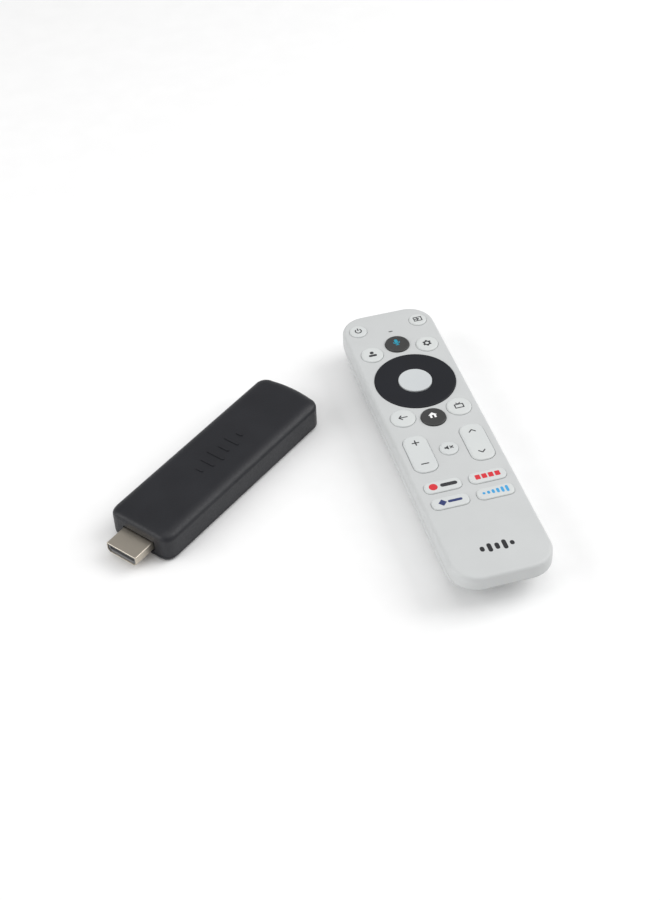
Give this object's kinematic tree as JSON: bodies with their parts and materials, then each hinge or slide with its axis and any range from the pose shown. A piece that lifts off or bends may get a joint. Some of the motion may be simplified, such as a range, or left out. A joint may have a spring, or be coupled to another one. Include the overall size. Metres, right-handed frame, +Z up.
{
  "type": "streaming media player",
  "caption": "Plug-in streaming media stick with a video plug at one end, lying beside its slim hand remote with a direction ring, rocker keys and a sliding battery door.",
  "frame": {"origin": "on the table under the middle of the box round the stick and the remote", "axes": "+Z up; +Y along the remote towards its power key; +X to the remote's right; the stick lies on the -X side, turned so that its video plug points towards -X and -Y"},
  "size_m": [0.1476, 0.148, 0.0176],
  "materials": {
    "stick_plastic": "fine matte moulded texture",
    "plug_metal": "satin nickel plate",
    "black_plastic": "matte",
    "contact_gold": "gold flash",
    "board_green": "solder mask",
    "chip_black": "moulded resin",
    "tinned_steel": "tin plate",
    "thermal_rubber": "soft pad",
    "spreader_aluminium": "mill finish",
    "clear_plastic": "clear",
    "antenna_copper": "etched copper",
    "case_plastic": "fine satin",
    "silicone": "moulded silicone",
    "dark_lens": "infrared-pass, polished",
    "battery_wrap": "printed wrap",
    "screw_steel": "zinc plate",
    "key_plastic": "satin",
    "dark_key_plastic": "satin",
    "ring_plastic": "matte"
  },
  "bodies": {
    "remote": {"remote_top_case": "case_plastic", "remote_bottom_case": "case_plastic", "keypad_mat": "silicone", "remote_board": "board_green", "key_contacts": "contact_gold", "controller_chip": "chip_black", "infrared_lamp": "dark_lens", "infrared_window": "dark_lens", "microphone": "tinned_steel", "battery_left": "battery_wrap", "battery_right": "battery_wrap", "battery_springs": "tinned_steel", "battery_plates": "tinned_steel", "board_screws": "screw_steel"},
    "stick": {"stick_top_shell": "stick_plastic", "stick_bottom_shell": "stick_plastic", "video_plug_shell": "plug_metal", "plug_insulator": "black_plastic", "plug_contacts": "contact_gold", "stick_board": "board_green", "processor": "chip_black", "memory_chips": "chip_black", "shield_can": "tinned_steel", "thermal_pad": "thermal_rubber", "heat_spreader": "spreader_aluminium", "power_socket_shell": "tinned_steel", "power_socket_tongue": "black_plastic", "reset_switch": "tinned_steel", "light_pipe": "clear_plastic", "stick_light": "clear_plastic", "antenna": "antenna_copper"},
    "reset_button": {"reset_button": "black_plastic"},
    "battery_door": {"battery_door": "case_plastic"},
    "power_button": {"power_button": "key_plastic"},
    "input_button": {"input_button": "key_plastic"},
    "profile_button": {"profile_button": "key_plastic"},
    "voice_button": {"voice_button": "dark_key_plastic"},
    "settings_button": {"settings_button": "key_plastic"},
    "dpad_support": {"dpad_support": "silicone"},
    "dpad_ring": {"dpad_ring": "ring_plastic"},
    "ok_button": {"ok_button": "key_plastic"},
    "back_button": {"back_button": "key_plastic"},
    "home_button": {"home_button": "dark_key_plastic"},
    "guide_button": {"guide_button": "key_plastic"},
    "volume_rocker": {"volume_rocker": "key_plastic"},
    "mute_button": {"mute_button": "key_plastic"},
    "channel_rocker": {"channel_rocker": "key_plastic"},
    "app_button_1": {"app_button_1": "key_plastic"},
    "app_button_2": {"app_button_2": "key_plastic"},
    "app_button_3": {"app_button_3": "key_plastic"},
    "app_button_4": {"app_button_4": "key_plastic"}
  },
  "joints": [
    {"name": "stick_lift", "type": "slide", "parent": "remote", "child": "stick", "axis": [0, 0, 1], "range_m": [0, 0.1]},
    {"name": "reset_press", "type": "slide", "parent": "stick", "child": "reset_button", "axis": [0.6101, -0.7923, 0], "range_m": [0, 0.0003], "stiffness_N_per_m": 300},
    {"name": "battery_door_slide", "type": "slide", "parent": "remote", "child": "battery_door", "axis": [0, -1, 0], "range_m": [0, 0.08]},
    {"name": "power_press", "type": "slide", "parent": "remote", "child": "power_button", "axis": [0, 0, -1], "range_m": [0, 0.0005], "stiffness_N_per_m": 300},
    {"name": "input_press", "type": "slide", "parent": "remote", "child": "input_button", "axis": [0, 0, -1], "range_m": [0, 0.0005], "stiffness_N_per_m": 300},
    {"name": "profile_press", "type": "slide", "parent": "remote", "child": "profile_button", "axis": [0, 0, -1], "range_m": [0, 0.0005], "stiffness_N_per_m": 300},
    {"name": "voice_press", "type": "slide", "parent": "remote", "child": "voice_button", "axis": [0, 0, -1], "range_m": [0, 0.0005], "stiffness_N_per_m": 300},
    {"name": "settings_press", "type": "slide", "parent": "remote", "child": "settings_button", "axis": [0, 0, -1], "range_m": [0, 0.0005], "stiffness_N_per_m": 300},
    {"name": "ok_press", "type": "slide", "parent": "remote", "child": "ok_button", "axis": [0, 0, -1], "range_m": [0, 0.0005], "stiffness_N_per_m": 300},
    {"name": "back_press", "type": "slide", "parent": "remote", "child": "back_button", "axis": [0, 0, -1], "range_m": [0, 0.0005], "stiffness_N_per_m": 300},
    {"name": "home_press", "type": "slide", "parent": "remote", "child": "home_button", "axis": [0, 0, -1], "range_m": [0, 0.0005], "stiffness_N_per_m": 300},
    {"name": "guide_press", "type": "slide", "parent": "remote", "child": "guide_button", "axis": [0, 0, -1], "range_m": [0, 0.0005], "stiffness_N_per_m": 300},
    {"name": "mute_press", "type": "slide", "parent": "remote", "child": "mute_button", "axis": [0, 0, -1], "range_m": [0, 0.0005], "stiffness_N_per_m": 300},
    {"name": "app_1_press", "type": "slide", "parent": "remote", "child": "app_button_1", "axis": [0, 0, -1], "range_m": [0, 0.0005], "stiffness_N_per_m": 300},
    {"name": "app_2_press", "type": "slide", "parent": "remote", "child": "app_button_2", "axis": [0, 0, -1], "range_m": [0, 0.0005], "stiffness_N_per_m": 300},
    {"name": "app_3_press", "type": "slide", "parent": "remote", "child": "app_button_3", "axis": [0, 0, -1], "range_m": [0, 0.0005], "stiffness_N_per_m": 300},
    {"name": "app_4_press", "type": "slide", "parent": "remote", "child": "app_button_4", "axis": [0, 0, -1], "range_m": [0, 0.0005], "stiffness_N_per_m": 300},
    {"name": "dpad_up_down", "type": "hinge", "parent": "remote", "child": "dpad_support", "pos_m": [0.05504, 0.0297, 0.0146], "axis": [1, 0, 0], "range_deg": [-1.5, 1.5], "stiffness_Nm_per_rad": 0.05},
    {"name": "dpad_left_right", "type": "hinge", "parent": "dpad_support", "child": "dpad_ring", "pos_m": [0.05504, 0.0297, 0.0146], "axis": [0, 1, 0], "range_deg": [-1.5, 1.5], "stiffness_Nm_per_rad": 0.05},
    {"name": "volume_rock", "type": "hinge", "parent": "remote", "child": "volume_rocker", "pos_m": [0.04404, -0.0099, 0.0146], "axis": [1, 0, 0], "range_deg": [-2.4, 2.4], "stiffness_Nm_per_rad": 0.05},
    {"name": "channel_rock", "type": "hinge", "parent": "remote", "child": "channel_rocker", "pos_m": [0.06604, -0.0099, 0.0146], "axis": [1, 0, 0], "range_deg": [-2.4, 2.4], "stiffness_Nm_per_rad": 0.05}
  ]
}
